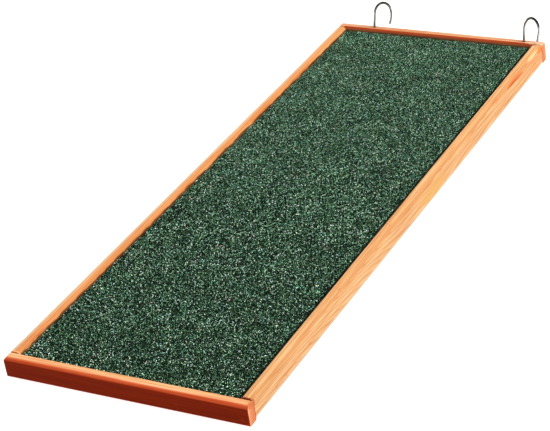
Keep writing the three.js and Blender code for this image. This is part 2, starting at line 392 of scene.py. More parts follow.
def make_grain_group():
    """Solid pine: year rings round a far pith, fine fibres and pores. The grain runs along Y."""
    tree, given, out = new_group(
        "pine_grain",
        {"Place": "Vector", "Pith X": "Float", "Pith Z": "Float", "Ring": "Float", "Seed": "Float",
         "Crown Y": "Float", "Taper": "Float"},
        {"Rings": "Float", "Fibres": "Float", "Patches": "Float", "Pores": "Float"},
    )
    place = vector_maths(tree, "ADD", given["Place"], evenly(tree, given["Seed"]))
    shifted = vector_maths(tree, "ADD", place, RING_BEND_SHIFT)
    bend_x = streaky_noise(tree, place, RING_BEND_PACE, 2)
    bend_z = streaky_noise(tree, shifted, RING_BEND_PACE, 2)
    x, y, z = axes(tree, given["Place"])
    off_crown = maths(tree, "ABSOLUTE", maths(tree, "SUBTRACT", y, given["Crown Y"]))
    x = maths(tree, "SUBTRACT", maths(tree, "MULTIPLY_ADD", bend_x, RING_WANDER, x), given["Pith X"])
    x = maths(tree, "SUBTRACT", x, times(tree, off_crown, given["Taper"]))
    z = maths(tree, "SUBTRACT", maths(tree, "MULTIPLY_ADD", bend_z, RING_WANDER, z), given["Pith Z"])
    radius = maths(tree, "SQRT", maths(tree, "ADD", times(tree, x, x), times(tree, z, z)))
    phase = maths(tree, "FRACT", maths(tree, "DIVIDE", radius, given["Ring"]))
    late = span(tree, phase, 0.35, 0.9, smooth=True)
    ends = span(tree, phase, 0.92, 1, 1, 0, smooth=True)
    specks = streaky_noise(tree, place, (2400, 260, 2400), 1)
    put(tree, out["Rings"], times(tree, late, ends))
    put(tree, out["Fibres"], streaky_noise(tree, place, (760, 16, 760), 4, 0.62))
    put(tree, out["Patches"], streaky_noise(tree, place, (70, 9, 70), 3))
    put(tree, out["Pores"], span(tree, specks, 0.66, 0.74))
    return tree


def make_vein_group():
    """A streak or a stain in the wood: an ellipsoid round a centre, with a ragged edge."""
    tree, given, out = new_group(
        "dark_vein",
        {"Place": "Vector", "Centre": "Vector", "Half Size": "Vector", "Wander": "Float"},
        {"Mask": "Float"},
    )
    away = vector_maths(tree, "SUBTRACT", given["Place"], given["Centre"])
    noisy = maths(tree, "SUBTRACT", streaky_noise(tree, given["Place"], (8, 34, 8), 2), 0.5)
    drift = times(tree, noisy, given["Wander"])
    moved = vector_maths(tree, "ADD", away, joined(tree, drift, 0, drift))
    shares = vector_maths(tree, "DIVIDE", moved, given["Half Size"])
    reach = add(tree, "ShaderNodeVectorMath", {0: shares, 1: shares},
                operation="DOT_PRODUCT").outputs["Value"]
    ragged = streaky_noise(tree, given["Place"], (1300, 60, 1300), 2)
    reach = maths(tree, "MULTIPLY_ADD", ragged, 0.7, reach)
    put(tree, out["Mask"], span(tree, reach, 0.55, 1.35, 1, 0, smooth=True))
    return tree


grain_group = make_grain_group()
vein_group = make_vein_group()


# Wood finishes, as linear colours. What faces -Y gets a deep red painted shade, step by step.
FRONT_END_GLAZE = (0.57, 0.15, 0.058)
END_GLAZE = (0.58, 0.17, 0.055)
END_RING_SHARE = (0.78, 0.42, 0.30)
SHADE_SHARE = (0.28, 0.25, 0.24)
LATE_SHARE = (0.80, 0.62, 0.50)
KNOT_BROWN = (0.41, 0.09, 0.018)
PORE_BROWN = (0.42, 0.085, 0.018)
# Steps of the deep red painted shade on the front rail
FRONT_SHADE_STEPS = [
    (0.05, (0.74, 0.41, 0.20)),
    (0.17, (0.74, 0.31, 0.15)),
    (0.37, (0.68, 0.185, 0.075)),
    (0.60, (0.61, 0.104, 0.035)),
    (0.79, (0.63, 0.090, 0.027)),
    (0.94, (0.62, 0.078, 0.020)),
    (0.975, (0.45, 0.043, 0.009)),
    (0.992, (0.235, 0.0165, 0.0012)),
]
# Steps of the deep red painted shade on the back rail's faces turned to -Y
BACK_SHADE_STEPS = [
    (0.03, (0.57, 0.20, 0.085)),
    (0.10, (0.45, 0.078, 0.022)),
    (0.24, (0.36, 0.046, 0.011)),
    (0.60, (0.31, 0.045, 0.013)),
    (0.9, (0.32, 0.085, 0.032)),
    (1.0, (0.28, 0.125, 0.052)),
]


# Marks on the rails: centre, half sizes and wander in millimetres, then colour and strength. Those
# of the right rail have one half size across the rail and one along it.
WHOLE_LENGTH = 5000
SIDE_RAIL_LENGTH = 484
FRONT_MARKS = (
    # Painted shadow in the joint gap at the front rail's right end
    ((90, -242, 9), (3, 1.3, 14), 0, (0.32, 0.06, 0.016), 0.8),
    ((90, -245.5, 13.5), (2.4, 5, 3.4), 0.5, (0.50, 0.12, 0.034), 0.7),
)
BACK_MARKS = (
    ((90, 250, 7), (3, 4.5, 14), 0, (0.50, 0.31, 0.19), 0.85),
    ((83, 246, 15), (10, 3.2, 2), 0.5, (0.78, 0.47, 0.29), 0.7),
)
LEFT_MARKS = (
    ((-90, 0, 14), (5.0, WHOLE_LENGTH, 5.0), 0.5, (0.55, 0.385, 0.235), 0.95),
    ((-83.9, 0, 14.6), (1.2, WHOLE_LENGTH, 1.2), 1.5, (0.54, 0.21, 0.07), 0.6),
    # Painted light on the left rail's front end, where it meets the front rail
    ((-85, -242, 14.5), (8, 0.8, 4), 0, (0.95, 0.50, 0.26), 0.9),
    ((-86, 228, 15), (5, 52, 4), 1, (0.57, 0.26, 0.092), 0.6),
)
RIGHT_MARKS = (
    ((88.0, 10, 14.4), 1.3, WHOLE_LENGTH, 1.0, (0.48, 0.215, 0.079), 0.85),
    ((89.2, 10, 0.6), 2.4, WHOLE_LENGTH, 0.5, (0.58, 0.42, 0.27), 0.7),
    # Painted shadow in the joint gap where the right rail meets the front rail, on its top and its outer
    # face
    ((85, -241.7, 15), 8, 0.75, 0, (0.22, 0.03, 0.004), 0.8),
    ((88.8, -240.4, 11.8), 3.4, 1.1, 0, (0.36, 0.085, 0.02), 0.75),
    ((88.5, 186, 13.4), 2.1, 19, 1, (0.60, 0.15, 0.045), 0.85),
    ((88.9, 181, 13.1), 1.1, 12, 0.5, KNOT_BROWN, 0.95),
    ((88.9, 196, 12.4), 0.8, 11, 0.5, KNOT_BROWN, 0.9),
    ((87.6, 148, 14.5), 0.9, 8, 0.5, (0.52, 0.14, 0.045), 0.6),
    ((88.6, 125, 13.9), 0.8, 6, 0.5, (0.52, 0.15, 0.05), 0.5),
    ((88.9, 216, 12.3), 0.8, 8, 0, (0.58, 0.15, 0.06), 0.75),
    ((89.0, 226, 10.3), 0.8, 8, 0, (0.58, 0.15, 0.06), 0.75),
    ((88.0, 225, 14.5), 1.1, 14, 0.3, (0.80, 0.52, 0.25), 0.7),
    ((89.0, 235, 8.6), 1.5, 6, 1, (0.74, 0.24, 0.14), 0.8),
    ((89.0, 229, 3.4), 2.2, 11, 1, (0.70, 0.25, 0.080), 0.8),
    ((88.6, 239, 12.6), 2.4, 8, 0.5, (0.66, 0.16, 0.035), 0.9),
    ((89.0, 28, 6.5), 6.5, 32, 2, (0.58, 0.31, 0.085), 0.7),
    ((89.0, 216, 10), 3.5, 34, 1, (0.61, 0.26, 0.085), 0.5),
    ((89.0, -213, 4.2), 0.6, 2.2, 0, PORE_BROWN, 0.6),
    ((89.0, -200, 3.7), 0.6, 2.2, 0, PORE_BROWN, 0.6),
    ((89.0, -167, 5.6), 0.6, 2.2, 0, PORE_BROWN, 0.7),
    ((86.0, -37, 15.0), 0.5, 1.4, 0, PORE_BROWN, 0.6),
    ((85.6, 8, 15.0), 0.5, 1.4, 0, PORE_BROWN, 0.6),
    ((86.9, -118, 15.0), 0.5, 1.8, 0, PORE_BROWN, 0.6),
)


def on_flared_rail(marks):
    """The right rail's marks, moved out with its flare and given their three half sizes."""
    for (x, y, z), wide, long, wander, tint, strength in marks:
        out = RIGHT_RAIL_FLARE / MM * (y / SIDE_RAIL_LENGTH + 0.5)
        yield (x + out, y, z), (wide, long, wide), wander, tint, strength


def tinted(tree, colour, factor, low, high):
    """Makes a colour paler or deeper with a noise that mostly stays between 0.38 and 0.62."""
    light = span(tree, factor, 0.38, 0.62, low, high)
    warm = joined(tree, maths(tree, "POWER", light, 0.5), light, maths(tree, "POWER", light, 1.5))
    return vector_maths(tree, "MULTIPLY", colour, warm)


def make_wood_group():
    """Glazed pine: patches, late wood, fibres and pores, and darker rings on the ends."""
    tree, given, out = new_group(
        "glazed_wood",
        {"Rings": "Float", "Fibres": "Float", "Patches": "Float", "Pores": "Float", "Pale": "Color",
         "Deep": "Color", "End Glaze": "Color"},
        {"Colour": "Color", "Roughness": "Float", "Normal": "Vector"},
    )
    late_wood = times(tree, given["Rings"], 0.7)
    colour = mixed(tree, span(tree, given["Patches"], 0.3, 0.7), given["Pale"], given["Deep"])
    colour = mixed(tree, late_wood, colour, filtered(tree, colour, LATE_SHARE))
    colour = tinted(tree, colour, given["Fibres"], 0.72, 1.22)
    colour = mixed(tree, times(tree, given["Pores"], 0.35), colour, PORE_BROWN)
    dark = filtered(tree, given["End Glaze"], END_RING_SHARE)
    ringed = mixed(tree, late_wood, given["End Glaze"], dark)
    relief = maths(tree, "ADD", times(tree, given["Rings"], -0.5), given["Fibres"])
    put(tree, out["Colour"], mixed(
        tree, times(tree, attribute(tree, "end_grain"), 0.85), colour, ringed))
    put(tree, out["Roughness"], span(tree, given["Fibres"], 0.2, 0.8, 0.42, 0.6))
    put(tree, out["Normal"], bumped(tree, relief, 0.35, 0.06 * MM))
    return tree


def make_shade_edge():
    """How deep the red painted shade lies on what faces -Y, from its attribute, uneven where it begins."""
    tree, given, out = new_group("glaze_edge", {"Patches": "Float"}, {"Edge": "Float"})
    glaze = attribute(tree, "glaze")
    begins = times(tree, glaze, maths(tree, "SUBTRACT", 1, glaze))
    uneven = times(tree, begins, span(tree, given["Patches"], 0.3, 0.7, -0.4, 0.4))
    put(tree, out["Edge"], maths(tree, "ADD", glaze, uneven))
    return tree


def make_red_shade():
    """Lays a deep red painted shade over a colour."""
    tree, given, out = new_group(
        "red_glaze", {"Colour": "Color", "Red": "Color", "Fibres": "Float", "Edge": "Float"},
        {"Colour": "Color"})
    red = tinted(tree, given["Red"], given["Fibres"], 0.78, 1.24)
    cover = span(tree, given["Edge"], 0.03, 0.16, smooth=True)
    put(tree, out["Colour"], mixed(tree, cover, given["Colour"], red))
    return tree


def make_wall_shade():
    """Painted shade: darkens the faces turned to the felt, with a wavering edge."""
    tree, given, out = new_group(
        "well_stain", {"Colour": "Color", "Place": "Vector"}, {"Colour": "Color"})
    wobble = even_noise(tree, given["Place"], 75, 2)
    inside = maths(tree, "MULTIPLY_ADD", wobble, 0.6, attribute(tree, "well_side"))
    wall_in_shade = span(tree, inside, 1.08, 1.30, smooth=True)
    shaded = filtered(tree, given["Colour"], SHADE_SHARE)
    put(tree, out["Colour"], mixed(tree, wall_in_shade, given["Colour"], shaded))
    return tree


wood_group = make_wood_group()
shade_edge_group = make_shade_edge()
red_shade_group = make_red_shade()
wall_shade_group = make_wall_shade()


def with_marks(tree, place, colour, marks):
    for centre, half_size, wander, tint, strength in marks:
        mask = placed_group(tree, vein_group, {
            "Place": place, "Centre": Vector(centre) * MM, "Half Size": Vector(half_size) * MM,
            "Wander": wander * MM})["Mask"]
        colour = mixed(tree, times(tree, mask, strength), colour, tint)
    return colour


def glazed_pine(name, turned, grain_at, pale, deep, marks, steps=FRONT_SHADE_STEPS, end_glaze=END_GLAZE):
    """Pine under a satin orange glazing. The faces turned to -Y get a deep red painted shade, and the side
    rails' faces turned to the felt a darker painted shade.
    """
    material, tree, shader = new_material(name)
    place = object_place(tree)
    along = place
    if turned:
        along = add(tree, "ShaderNodeMapping", {
            "Vector": place, "Rotation": (0, 0, math.pi / 2)}).outputs[0]
    grain = placed_group(tree, grain_group, {"Place": along, **grain_at})
    wood = placed_group(tree, wood_group, {
        **{key: grain[key] for key in ("Rings", "Fibres", "Patches", "Pores")},
        "Pale": pale, "Deep": deep, "End Glaze": end_glaze})
    # Deep red painted shade on what faces -Y
    edge = placed_group(tree, shade_edge_group, {"Patches": grain["Patches"]})["Edge"]
    colour = placed_group(tree, red_shade_group, {
        "Colour": wood["Colour"], "Red": ramp(tree, edge, steps), "Fibres": grain["Fibres"],
        "Edge": edge})["Colour"]
    # Painted shade on the side rails' faces turned to the felt
    colour = placed_group(tree, wall_shade_group, {"Colour": colour, "Place": place})["Colour"]
    colour = with_marks(tree, place, colour, marks)
    feed(tree, shader, Base_Color=colour, Specular_Tint=colour, Specular_IOR_Level=0.04,
         Roughness=wood["Roughness"], Normal=wood["Normal"])
    return material


def grain_at(pith, ring, seed, crown=0, taper=0):
    """Where the pith of a piece lies and how wide its rings are, in millimetres."""
    return {"Pith X": pith[0] * MM, "Pith Z": pith[1] * MM, "Ring": ring * MM, "Seed": seed,
            "Crown Y": crown * MM, "Taper": taper}


def bare_pine():
    """Planed pine with no finish, on the deck board."""
    material, tree, shader = new_material("bare_pine")
    grain = placed_group(tree, grain_group, {
        "Place": object_place(tree), **grain_at((30, -45), 3.4, 2.6)})
    patches = span(tree, grain["Patches"], 0.3, 0.7)
    colour = mixed(tree, patches, (0.62, 0.42, 0.23), (0.54, 0.34, 0.17))
    colour = mixed(tree, times(tree, grain["Rings"], 0.6), colour, (0.42, 0.22, 0.09))
    light = span(tree, grain["Fibres"], 0.3, 0.72, 0.88, 1.08)
    feed(tree, shader, Base_Color=filtered(tree, colour, evenly(tree, light)),
         Roughness=span(tree, grain["Fibres"], 0.2, 0.8, 0.6, 0.8),
         Normal=bumped(tree, grain["Fibres"], 0.5, 0.1 * MM))
    return material


def felt_base():
    """Dark bitumen felt between the grit, with green mineral dust pressed into it."""
    material, tree, shader = new_material("felt_base")
    dust = even_noise(tree, object_place(tree), 900, 4, 0.65)
    colour = ramp(tree, dust, [(0.38, (0.001, 0.002, 0.001)), (0.62, (0.008, 0.014, 0.009))])
    feed(tree, shader, Base_Color=colour, Specular_IOR_Level=0.02,
         Roughness=span(tree, dust, 0.3, 0.7, 0.75, 0.95), Normal=bumped(tree, dust, 0.8, 0.3 * MM))
    return material


# The grit's colours: by a grain's tone, by its tint, and the green that far grains fade to
GRIT_TONES = [
    (0.0, (0.004, 0.008, 0.005)),
    (0.22, (0.032, 0.055, 0.036)),
    (0.50, (0.120, 0.21, 0.135)),
    (0.76, (0.25, 0.41, 0.27)),
    (0.92, (0.42, 0.62, 0.46)),
    (0.965, (1.0, 1.0, 0.95)),
]
GRIT_TINTS = [
    (0.0, (0.55, 0.95, 0.95)),
    (0.25, (0.70, 1.0, 0.80)),
    (0.50, (0.90, 1.05, 0.75)),
    (0.75, (0.85, 0.95, 1.15)),
    (0.92, (1.0, 0.95, 0.90)),
    (1.0, (1.5, 0.85, 0.80)),
]
FAR_GREEN = (0.22, 0.36, 0.24)
FAR_FADE = (-0.05, 0.24, 0, 0.45)
RIGHT_WALL_SHADE = (77.9 * MM, 78.5 * MM, 1, 0.12)


def slate_grit():
    """Crushed slate: each grain has its own tone and tint, and patches of the deck drift a little."""
    material, tree, shader = new_material("slate_grit")
    tint = attribute(tree, "tint")
    place = object_place(tree)
    x, y = axes(tree, place)[:2]
    colour = ramp(tree, attribute(tree, "tone"), GRIT_TONES)
    colour = mixed(tree, span(tree, y, *FAR_FADE), colour, FAR_GREEN)
    patch = span(tree, even_noise(tree, place, 95, 2), 0.3, 0.7, -0.12, 0.20)
    colour = filtered(tree, colour, ramp(tree, maths(tree, "MULTIPLY_ADD", tint, 0.84, patch), GRIT_TINTS))
    drift = span(tree, even_noise(tree, place, 55, 2), 0.3, 0.7, 0.92, 1.34)
    light = times(tree, drift, span(tree, x, *RIGHT_WALL_SHADE))
    feed(tree, shader, Base_Color=vector_maths(tree, "MULTIPLY", colour, evenly(tree, light)),
         Roughness=span(tree, tint, 0, 1, 0.38, 0.72), Specular_IOR_Level=0.05)
    return material


def bright_wire():
    """Bright plated steel wire with faint drawing marks that run up and down."""
    material, tree, shader = new_material("bright_wire")
    marks = streaky_noise(tree, object_place(tree), (1500, 1500, 300), 3)
    colour = ramp(tree, marks, [(0.3, (0.46, 0.47, 0.49)), (0.7, (0.60, 0.61, 0.62))])
    feed(tree, shader, Base_Color=colour, Roughness=span(tree, marks, 0.3, 0.75, 0.07, 0.2), Metallic=1)
    return material


def brad_steel():
    """Plain steel wire of the brads, dull and with a few stains."""
    material, tree, shader = new_material("brad_steel")
    stain = even_noise(tree, object_place(tree), 700, 3)
    colour = ramp(tree, stain, [(0.35, (0.30, 0.28, 0.26)), (0.65, (0.45, 0.45, 0.46))])
    feed(tree, shader, Base_Color=colour, Roughness=span(tree, stain, 0.3, 0.7, 0.35, 0.6), Metallic=1)
    return material


# Rails

def brad_marks(names, axis):
    """Where the brads that enter one face meet it: places along the rail and heights."""
    marks = []
    for name in names:
        low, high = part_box(name)
        middle = (low + high) / 2
        marks.append((middle[axis], middle.z))
    return marks


def ease_edges(bm, low, high, axis, outward):
    """Rounds the long edges, and eases the ends, more where an end rail's end shows."""
    middle = (low + high) / 2
    top = [e for e in bm.edges if runs_along(e, axis) and e.verts[0].co.z > middle.z]
    far = [e for e in top if axis == 0 and outward > 0 and e.verts[0].co.y > middle.y]
    bevel_edges(bm, [e for e in top if e not in far], TOP_ROUND, TOP_STEPS)
    bevel_edges(bm, far, BACK_ARRIS_ROUND, TOP_STEPS)
    bottom = [e for e in bm.edges if runs_along(e, axis) and e.verts[0].co.z < low.z + EDGE_REACH]
    bevel_edges(bm, bottom, BOTTOM_ROUND, BOTTOM_STEPS)
    ends = [e for e in bm.edges if runs_across(e, axis)]
    outer = [e for e in ends if axis == 0 and outward * (
        e.verts[0].co.y + e.verts[1].co.y - low.y - high.y) > -MIDDLE_SLACK]
    bevel_edges(bm, [e for e in ends if e not in outer], JOINT_EASE, END_STEPS)
    bevel_edges(bm, [e for e in outer if e.is_valid], OUTER_END_EASE, END_STEPS)


def rail_block(node, axis, marks, outward, flare):
    """A rail as a bevelled block, cut along its length, with worn arrises and filled brad holes."""
    low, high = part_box(node)
    bm = block(low, high)
    ease_edges(bm, low, high, axis, outward)
    inner = (OUTER_END_EASE if axis == 0 else JOINT_EASE) * END_CUT_REACH
    cuts_along(bm, axis, even_cuts(low[axis] + inner, high[axis] - inner, RAIL_STEP))
    for along, height in marks:
        cuts_along(bm, axis, [along + share * DIMPLE_RADIUS for share in DIMPLE_CUT_SHARES])
    for height in sorted({round(height, HEIGHT_DIGITS) for along, height in marks}):
        cuts_along(bm, 2, [height + share * DIMPLE_RADIUS for share in DIMPLE_CUT_SHARES])
    if axis == 0:
        round_end(bm, low.x, 1, high.z)
    if axis == 0 and outward > 0:
        round_end(bm, high.x, -1, high.z)
    wear_arrises(bm, low, high, axis)
    for along, height in marks:
        sink_dimple(bm, axis, along, height, outward, low, high)
    if flare:
        flare_outward(bm, low, high, flare)
    face_up(bm)
    return bm


def round_end(bm, end, inward, top):
    """Rounds the top of an end rail's end as far as the side rail's arris beside it."""
    cuts_along(bm, 0, [end + inward * share * END_ROUND for share in END_CUT_SHARES])
    for v in bm.verts:
        reach = 1 - (v.co.x - end) * inward / END_ROUND
        rise = 1 - (top - v.co.z) / END_ROUND
        if reach > 0 and rise > 0:
            v.co.z -= END_ROUND * (1 - math.sqrt(max(0, 1 - reach * reach))) * rise


def wear_arrises(bm, low, high, axis):
    """Sanding by hand: the rounded arrises wander in and out a little along the rail."""
    middle = (low + high) / 2
    across = 1 - axis
    flat = high[across] - middle[across] - TOP_ROUND
    for v in bm.verts:
        side = math.copysign(1, v.co[across] - middle[across])
        rise = (v.co.z - (high.z - TOP_ROUND)) / TOP_ROUND
        reach = (abs(v.co[across] - middle[across]) - flat) / TOP_ROUND
        share = max(0, min(rise, 1)) * max(0, min(reach, 1))
        if share <= 0:
            continue
        wave = ARRIS_MEAN
        for size, pace, shift, row in ARRIS_WAVES:
            place = Vector((v.co[axis] / ARRIS_PERIOD * pace, side * shift, low[across] * row))
            wave += size * noise.noise(place)
        move = ARRIS_WANDER * share * wave
        v.co[across] -= side * move
        v.co.z -= move


def flare_outward(bm, low, high, flare):
    """The outer half of a side rail stands further out towards the hooked end."""
    for v in bm.verts:
        if v.co.x > (low.x + high.x) / 2:
            v.co.x += flare * (v.co.y - low.y) / (high.y - low.y)


def sink_dimple(bm, axis, along, height, outward, low, high):
    across = 1 - axis
    face = high[across] if outward > 0 else low[across]
    for v in bm.verts:
        if abs(v.co[across] - face) > FACE_REACH:
            continue
        away = math.hypot(v.co[axis] - along, v.co.z - height) / DIMPLE_RADIUS
        if away < 1:
            v.co[across] -= outward * DIMPLE_DEPTH * (1 - away * away)


def mark_faces(mesh, axis, outward, reach):
    """Writes three attributes: the mask of the deep red painted shade, on end rails' faces turned to -Y
    and less far out than reach, end_grain, and well_side, on side rails' faces turned to the felt, which
    leads their painted shade."""
    glaze = mesh.attributes.new("glaze", "FLOAT", "POINT")
    end = mesh.attributes.new("end_grain", "FLOAT", "POINT")
    well = mesh.attributes.new("well_side", "FLOAT", "POINT")
    for i, v in enumerate(mesh.vertices):
        turn = abs(v.normal[axis])
        # Mask of the deep red painted shade
        glaze.data[i].value = max(0, -v.normal.y) if axis == 0 and abs(v.co.x) < reach else 0
        end.data[i].value = max(0, (turn - END_FACE_TURN) / (1 - END_FACE_TURN))
        # Leads the painted shade of the side rails' faces turned to the felt
        well.data[i].value = max(0, -outward * v.normal.x) if axis == 1 else 0


def make_rail(node, axis, material, brads, outward, reach=BEYOND, flare=0):
    bm = rail_block(node, axis, brad_marks(brads, axis), outward, flare)
    piece = finished(f"{node}_wood", bm, material)
    mark_faces(piece.data, axis, outward, reach)
    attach(piece, "ramp")
    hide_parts(node)
    return piece


def corner_brads(end):
    return [f"{end}_{side}_{level}_brad" for side in ("left", "right") for level in ("lower", "upper")]


def board_brads(side, count):
    return [f"{side}_board_brad_{i}" for i in range(1, count + 1)]


def make_rails():
    """Makes the four rails and gives back the back rail, which holds the hooks."""
    front = glazed_pine(
        "front_glaze", True, grain_at((28, -30), 2.1, 0.4), (0.72, 0.385, 0.18), (0.65, 0.31, 0.135),
        FRONT_MARKS, end_glaze=FRONT_END_GLAZE)
    back = glazed_pine(
        "back_glaze", True, grain_at((-24, 40), 1.9, 1.3), (0.60, 0.31, 0.165), (0.56, 0.26, 0.13),
        BACK_MARKS, steps=BACK_SHADE_STEPS)
    left = glazed_pine(
        "left_glaze", False, grain_at((-130, -22), 1.3, 2.2), (0.66, 0.29, 0.11), (0.60, 0.235, 0.076),
        LEFT_MARKS)
    right = glazed_pine(
        "right_glaze", False, grain_at((62, 3), 1.15, 3.1, 25, 0.05), (0.655, 0.38, 0.174),
        (0.59, 0.305, 0.13), on_flared_rail(RIGHT_MARKS))
    make_rail("front_rail", 0, front, corner_brads("front") + board_brads("front", 2), -1)
    back_rail = make_rail("back_rail", 0, back, corner_brads("back") + board_brads("back", 2), 1,
                          reach=BACK_SHADE_REACH)
    make_rail("left_rail", 1, left, board_brads("left", 4), -1)
    make_rail("right_rail", 1, right, board_brads("right", 4), 1, flare=RIGHT_RAIL_FLARE)
    return back_rail


# Felt

def felt_sheet(material):
    low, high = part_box("grit_felt")
    low = low + Vector((SHEET_MARGIN, SHEET_MARGIN, 0))
    high = high - Vector((SHEET_MARGIN, SHEET_MARGIN, SHEET_DROP))
    bm = block(low, high)
    for axis in (0, 1):
        cuts_along(bm, axis, even_cuts(low[axis], high[axis], SHEET_STEP))
    for v in bm.verts:
        if v.co.z > high.z - FACE_REACH:
            v.co.z += SHEET_WAVE * noise.noise(v.co / SHEET_WAVE_LENGTH)
    face_up(bm)
    piece = smooth_with_flat_faces(finished("felt_sheet", bm, material))
    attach(piece, "ramp")
    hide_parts("grit_felt")


def grit_shapes():
    """A few crushed grains, each the hull of some random points in a flattened ball."""
    shapes = bpy.data.collections.new("grit_shapes")
    draw = np.random.default_rng(GRIT_SEED)
    for i in range(GRIT_SHAPES):
        bm = bmesh.new()
        for point in draw.normal(size=(GRIT_CORNERS, 3)):
            point = point / np.linalg.norm(point) * draw.uniform(*GRIT_CORNER_SHARES)
            shares = (1, draw.uniform(*GRIT_WIDTH_SHARES), GRIT_FLATNESS)
            bm.verts.new(point * (0.5 * GRIT_LENGTH) * shares)
        hull = bmesh.ops.convex_hull(bm, input=bm.verts)
        loose = [g for g in hull["geom_interior"] if isinstance(g, bmesh.types.BMVert)]
        bmesh.ops.delete(bm, geom=loose, context="VERTS")
        face_up(bm)
        tile = bm.loops.layers.uv.new("OFBake")
        corners = ((TILE_EDGE, TILE_EDGE), (1 - TILE_EDGE, TILE_EDGE), (0.5, 1 - TILE_EDGE))
        for face in bm.faces:
            for loop, corner in zip(face.loops, corners):
                loop[tile].uv = corner
        mesh = bpy.data.meshes.new(f"grain_{i}")
        bm.to_mesh(mesh)
        bm.free()
        shapes.objects.link(bpy.data.objects.new(f"grain_{i}", mesh))
    return shapes


def random_value(tree, kind, low, high, seed):
    """A random number, or vector, for each element. Each kind has its two inputs and one output."""
    place = ("FLOAT_VECTOR", "FLOAT", "INT").index(kind)
    return add(tree, "FunctionNodeRandomValue", {
        2 * place: low, 2 * place + 1: high, "Seed": seed}, data_type=kind).outputs[place]


def compared(tree, a, operation, b):
    return add(tree, "FunctionNodeCompare", {0: a, 1: b}, operation=operation).outputs[0]


def stored(tree, grains, name, kind, value):
    """Writes a named value on each grain."""
    return add(tree, "GeometryNodeStoreNamedAttribute", {
        "Geometry": grains, "Name": name, "Value": value}, data_type=kind, domain="INSTANCE").outputs[0]


def scatter_tree(shapes):
    """Geometry nodes that set grains on a sheet, inside one strip of it."""
    tree, given, out = new_group(
        "grit_scatter", {"Sheet": "Geometry", "From X": "Float", "To X": "Float"},
        {"Grains": "Geometry"}, "GeometryNodeTree")
    points = add(tree, "GeometryNodeDistributePointsOnFaces", {
        "Mesh": given["Sheet"], "Distance Min": GRIT_SPACING, "Density Max": GRIT_DENSITY,
        "Seed": GRIT_SEED}, distribute_method="POISSON").outputs["Points"]
    x = axes(tree, add(tree, "GeometryNodeInputPosition").outputs[0])[0]
    inside = add(tree, "FunctionNodeBooleanMath", {
        0: compared(tree, x, "GREATER_EQUAL", given["From X"]),
        1: compared(tree, x, "LESS_THAN", given["To X"])}).outputs[0]
    kept = add(tree, "GeometryNodeSeparateGeometry", {
        "Geometry": points, "Selection": inside}, domain="POINT").outputs["Selection"]
    picked = add(tree, "GeometryNodeCollectionInfo", {
        "Collection": shapes, "Separate Children": True, "Reset Children": True}).outputs[0]
    turn = random_value(
        tree, "FLOAT_VECTOR", (-GRIT_TILT, -GRIT_TILT, 0), (GRIT_TILT, GRIT_TILT, 2 * math.pi), TURN_SEED)
    grains = add(tree, "GeometryNodeInstanceOnPoints", {
        "Points": kept, "Instance": picked, "Pick Instance": True,
        "Instance Index": random_value(tree, "INT", 0, GRIT_SHAPES - 1, SHAPE_SEED),
        "Scale": random_value(tree, "FLOAT", GRIT_MIN_SCALE, GRIT_MAX_SCALE, SIZE_SEED),
        "Rotation": add(tree, "FunctionNodeEulerToRotation", {0: turn}).outputs[0],
    }).outputs[0]
    for name, seed in SHADE_SEEDS.items():
        grains = stored(tree, grains, name, "FLOAT", random_value(tree, "FLOAT", 0, 1, seed))
    grains = stored(tree, grains, "grain", "INT", add(tree, "GeometryNodeInputIndex").outputs[0])
    put(tree, out["Grains"], add(tree, "GeometryNodeRealizeInstances", {0: grains}).outputs[0])
    return tree


def spread_tiles(mesh):
    """Gives each grain its own small tile of the piece's map."""
    grain = np.empty(len(mesh.vertices), np.int32)
    mesh.attributes["grain"].data.foreach_get("value", grain)
    corner = np.empty(len(mesh.loops), np.int32)
    mesh.loops.foreach_get("vertex_index", corner)
    uv = np.empty(2 * len(mesh.loops), np.float32)
    mesh.uv_layers["OFBake"].uv.foreach_get("vector", uv)
    uv = uv.reshape(-1, 2)
    number = grain[corner]
    across = math.ceil(math.sqrt(number.max() + 1))
    tile = np.stack([number % across, number // across], axis=1)
    mesh.uv_layers["OFBake"].uv.foreach_set("vector", ((uv + tile) / across).astype(np.float32).ravel())


def grit_strips(material):
    """The grit, in strips along the deck, so that no piece holds too many grains."""
    low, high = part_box("grit_felt")
    middle = (low + high) / 2
    surface = high.z - SHEET_DROP + GRIT_LIFT
    size = (high.x - low.x - 2 * SHEET_MARGIN, high.y - low.y - 2 * SHEET_MARGIN, 1)
    width = (high.x - low.x) / GRIT_STRIPS
    borders = [-BEYOND, *(low.x + i * width for i in range(1, GRIT_STRIPS)), BEYOND]
    shapes = grit_shapes()
    tree = scatter_tree(shapes)
    sockets = {s.name: s.identifier for s in tree.interface.items_tree if s.in_out == "INPUT"}
    for number, (start, stop) in enumerate(zip(borders, borders[1:]), 1):
        bm = bmesh.new()
        bmesh.ops.create_grid(bm, x_segments=1, y_segments=1, size=0.5)
        bmesh.ops.scale(bm, vec=size, verts=bm.verts)
        bmesh.ops.translate(bm, vec=(middle.x, middle.y, surface), verts=bm.verts)
        piece = finished(f"slate_grit_{number}", bm, material)
        scatter = piece.modifiers.new("scatter", "NODES")
        scatter.node_group = tree
        scatter[sockets["From X"]] = start
        scatter[sockets["To X"]] = stop
        baked_down(piece)
        paint(piece, material)
        spread_tiles(piece.data)
        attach(piece, "ramp")
    for prototype in list(shapes.objects):
        bpy.data.objects.remove(prototype)
    bpy.data.collections.remove(shapes)


# Hooks

def hook_stance(node, joint):
    """The foot, the shank's direction and the direction of the bend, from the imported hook."""
    foot = Vector(joint["pos_m"])
    shank = Vector(joint["axis"]).normalized()
    points = [v.co.copy() for v in frame["nodes"][node].data.vertices]
    off_axis = [(p - foot) - shank * (p - foot).dot(shank) for p in points]
    bend = max(off_axis, key=lambda away: away.length).normalized()
    side = shank.cross(bend)
    turned = Matrix((bend, side, shank)).transposed().to_4x4()
    return Matrix.Translation(foot) @ turned


